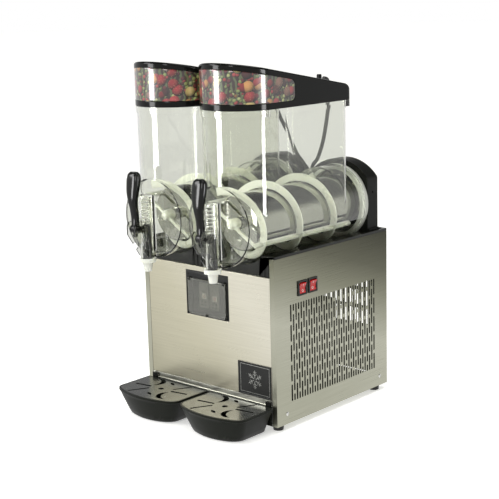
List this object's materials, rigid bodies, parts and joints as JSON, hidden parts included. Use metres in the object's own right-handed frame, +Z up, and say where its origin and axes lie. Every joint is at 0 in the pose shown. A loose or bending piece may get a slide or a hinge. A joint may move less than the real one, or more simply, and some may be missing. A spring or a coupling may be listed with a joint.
{
  "type": "slush machine",
  "caption": "Countertop slush machine: two clear bowls with augers over chilled drums, pull-lever taps, lidded tanks, steel cabinet with side vents, and pull-out drip trays.",
  "frame": {"origin": "middle of the footprint at counter level", "axes": "+X right seen from the front, front and taps face -Y, +Z up"},
  "size_m": [0.4081, 0.5364, 0.8018],
  "materials": {
    "stainless": "brushed satin",
    "galvanised": "galvanised sheet",
    "black_plastic": "fine grain",
    "gloss_black": "gloss",
    "rubber": "matte",
    "clear": "clear moulded polycarbonate",
    "red_plastic": "translucent red",
    "grey_plastic": "satin",
    "white_plastic": "translucent satin",
    "gasket_grey": "soft silicone",
    "drum_steel": "polished",
    "print": "printed film",
    "enamel_black": "semi-gloss",
    "aluminium": "mill finish",
    "spring_steel": "bright",
    "grid_black": "satin"
  },
  "bodies": {
    "machine": {"base_pan": "galvanised", "feet": "rubber", "left_side_panel": "stainless", "right_side_panel": "stainless", "front_panel": "stainless", "front_sill": "stainless", "rear_panel": "galvanised", "tray_holder": "black_plastic", "top_deck": "black_plastic", "control_recess": "black_plastic", "left_thermostat": "grey_plastic", "right_thermostat": "grey_plastic", "badge_plate": "enamel_black", "panel_screws": "stainless", "front_switch_frame": "black_plastic", "rear_switch_frame": "black_plastic", "mains_inlet": "black_plastic", "compressor": "enamel_black", "condenser": "aluminium", "fan_shroud": "galvanised", "fan_motor": "aluminium", "left_gear_motor": "aluminium", "left_motor_cover": "black_plastic", "left_drum": "drum_steel", "left_gasket": "gasket_grey", "left_bowl": "clear", "left_lever_pin": "spring_steel", "left_nozzle": "white_plastic", "right_gear_motor": "aluminium", "right_motor_cover": "black_plastic", "right_drum": "drum_steel", "right_gasket": "gasket_grey", "right_bowl": "clear", "right_lever_pin": "spring_steel", "right_nozzle": "white_plastic"},
    "control_flap": {"control_flap": "clear"},
    "front_rocker": {"front_rocker": "red_plastic"},
    "rear_rocker": {"rear_rocker": "red_plastic"},
    "condenser_fan": {"condenser_fan": "black_plastic"},
    "left_auger": {"left_auger": "white_plastic", "left_drive_shaft": "spring_steel"},
    "left_lid": {"left_lid": "black_plastic", "left_lid_print": "print", "left_lamp_lead": "rubber"},
    "left_lever": {"left_lever": "gloss_black"},
    "left_piston": {"left_piston": "gloss_black", "left_spring": "spring_steel"},
    "left_tray": {"left_tray": "black_plastic"},
    "left_grid": {"left_grid": "grid_black"},
    "right_auger": {"right_auger": "white_plastic", "right_drive_shaft": "spring_steel"},
    "right_lid": {"right_lid": "black_plastic", "right_lid_print": "print", "right_lamp_lead": "rubber"},
    "right_lever": {"right_lever": "gloss_black"},
    "right_piston": {"right_piston": "gloss_black", "right_spring": "spring_steel"},
    "right_tray": {"right_tray": "black_plastic"},
    "right_grid": {"right_grid": "grid_black"}
  },
  "joints": [
    {"name": "flap_hinge", "type": "hinge", "parent": "machine", "child": "control_flap", "pos_m": [0, -0.1409, 0.3153], "axis": [-1, 0, 0], "range_deg": [0, 80]},
    {"name": "front_switch", "type": "hinge", "parent": "machine", "child": "front_rocker", "pos_m": [0.198, -0.0475, 0.3105], "axis": [0, -1, 0], "range_deg": [0, 18]},
    {"name": "rear_switch", "type": "hinge", "parent": "machine", "child": "rear_rocker", "pos_m": [0.198, -0.0115, 0.3105], "axis": [0, -1, 0], "range_deg": [0, 18]},
    {"name": "fan_spin", "type": "hinge", "parent": "machine", "child": "condenser_fan", "pos_m": [0.098, 0.0265, 0.132], "axis": [1, 0, 0], "continuous": true},
    {"name": "left_auger_spin", "type": "hinge", "parent": "machine", "child": "left_auger", "pos_m": [-0.1, -0.1385, 0.457], "axis": [0, 1, 0], "continuous": true},
    {"name": "left_lid_lift", "type": "slide", "parent": "machine", "child": "left_lid", "axis": [0, 0, 1], "range_m": [0, 0.12]},
    {"name": "left_lever_pull", "type": "hinge", "parent": "machine", "child": "left_lever", "pos_m": [-0.1, -0.254, 0.441], "axis": [1, 0, 0], "range_deg": [0, 45]},
    {"name": "left_piston_lift", "type": "slide", "parent": "machine", "child": "left_piston", "axis": [0, 0, 1], "range_m": [0, 0.0142], "stiffness_N_per_m": 600, "springref_m": -0.01, "deforming": ["left_spring"]},
    {"name": "left_tray_pull", "type": "slide", "parent": "machine", "child": "left_tray", "axis": [0, -1, 0], "range_m": [0, 0.15]},
    {"name": "left_grid_lift", "type": "slide", "parent": "left_tray", "child": "left_grid", "axis": [0, 0, 1], "range_m": [0, 0.06]},
    {"name": "right_auger_spin", "type": "hinge", "parent": "machine", "child": "right_auger", "pos_m": [0.1, -0.1385, 0.457], "axis": [0, 1, 0], "continuous": true},
    {"name": "right_lid_lift", "type": "slide", "parent": "machine", "child": "right_lid", "axis": [0, 0, 1], "range_m": [0, 0.12]},
    {"name": "right_lever_pull", "type": "hinge", "parent": "machine", "child": "right_lever", "pos_m": [0.1, -0.254, 0.441], "axis": [1, 0, 0], "range_deg": [0, 45]},
    {"name": "right_piston_lift", "type": "slide", "parent": "machine", "child": "right_piston", "axis": [0, 0, 1], "range_m": [0, 0.0142], "stiffness_N_per_m": 600, "springref_m": -0.01, "deforming": ["right_spring"]},
    {"name": "right_tray_pull", "type": "slide", "parent": "machine", "child": "right_tray", "axis": [0, -1, 0], "range_m": [0, 0.15]},
    {"name": "right_grid_lift", "type": "slide", "parent": "right_tray", "child": "right_grid", "axis": [0, 0, 1], "range_m": [0, 0.06]}
  ],
  "couplings": [
    {"joint": "left_piston_lift", "follows": "left_lever_pull", "m_per_rad": 0.0177},
    {"joint": "right_piston_lift", "follows": "right_lever_pull", "m_per_rad": 0.0177}
  ]
}
